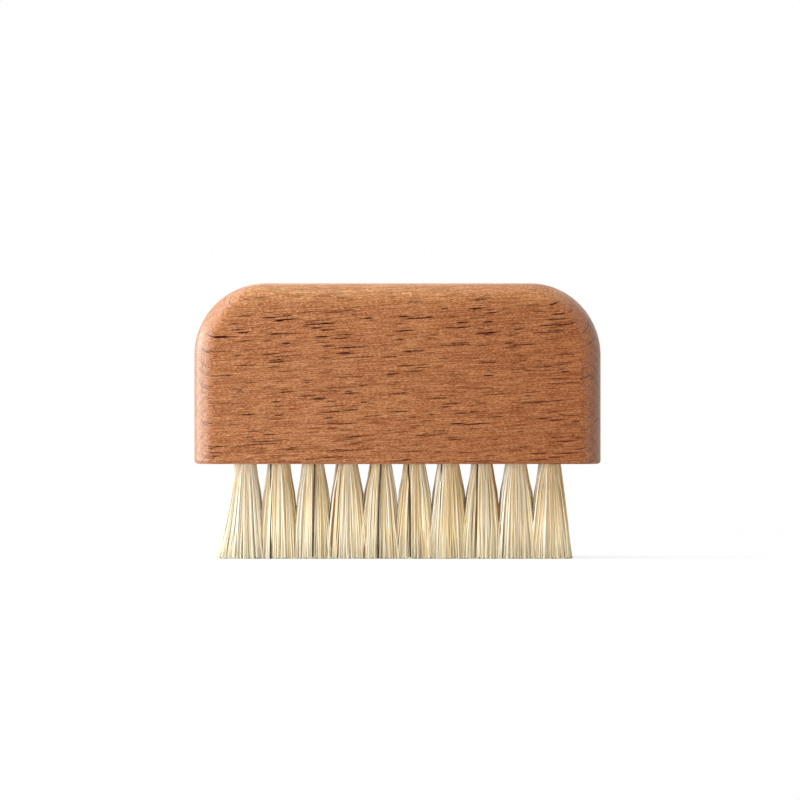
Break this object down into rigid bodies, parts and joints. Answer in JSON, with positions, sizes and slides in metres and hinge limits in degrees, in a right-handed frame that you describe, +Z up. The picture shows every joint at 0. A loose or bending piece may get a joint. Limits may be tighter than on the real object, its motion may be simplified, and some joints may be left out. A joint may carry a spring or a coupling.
{
  "type": "nail brush",
  "caption": "Small hand nail brush: a rounded beech block with rows of pale natural bristle tufts anchored in drilled holes, for scrubbing nails and fingertips.",
  "frame": {"origin": "middle of the plane of the bristle tips, on which the brush stands", "axes": "+X along the block to its right end seen from the front, +Y from the front face to the back face, +Z up from the bristle tips to the top of the block"},
  "size_m": [0.06, 0.018, 0.0406],
  "materials": {
    "beech": "fine-sanded bare beech",
    "bristle": "natural blond hog bristle",
    "wire": "drawn flat wire"
  },
  "bodies": {
    "root": {"anchors_row1": "wire", "anchors_row2": "wire", "anchors_row3": "wire", "handle": "beech", "tuft_row1_01": "bristle", "tuft_row1_02": "bristle", "tuft_row1_03": "bristle", "tuft_row1_04": "bristle", "tuft_row1_05": "bristle", "tuft_row1_06": "bristle", "tuft_row1_07": "bristle", "tuft_row1_08": "bristle", "tuft_row1_09": "bristle", "tuft_row1_10": "bristle", "tuft_row2_01": "bristle", "tuft_row2_02": "bristle", "tuft_row2_03": "bristle", "tuft_row2_04": "bristle", "tuft_row2_05": "bristle", "tuft_row2_06": "bristle", "tuft_row2_07": "bristle", "tuft_row2_08": "bristle", "tuft_row2_09": "bristle", "tuft_row2_10": "bristle", "tuft_row3_01": "bristle", "tuft_row3_02": "bristle", "tuft_row3_03": "bristle", "tuft_row3_04": "bristle", "tuft_row3_05": "bristle", "tuft_row3_06": "bristle", "tuft_row3_07": "bristle", "tuft_row3_08": "bristle", "tuft_row3_09": "bristle", "tuft_row3_10": "bristle"}
  },
  "joints": []
}
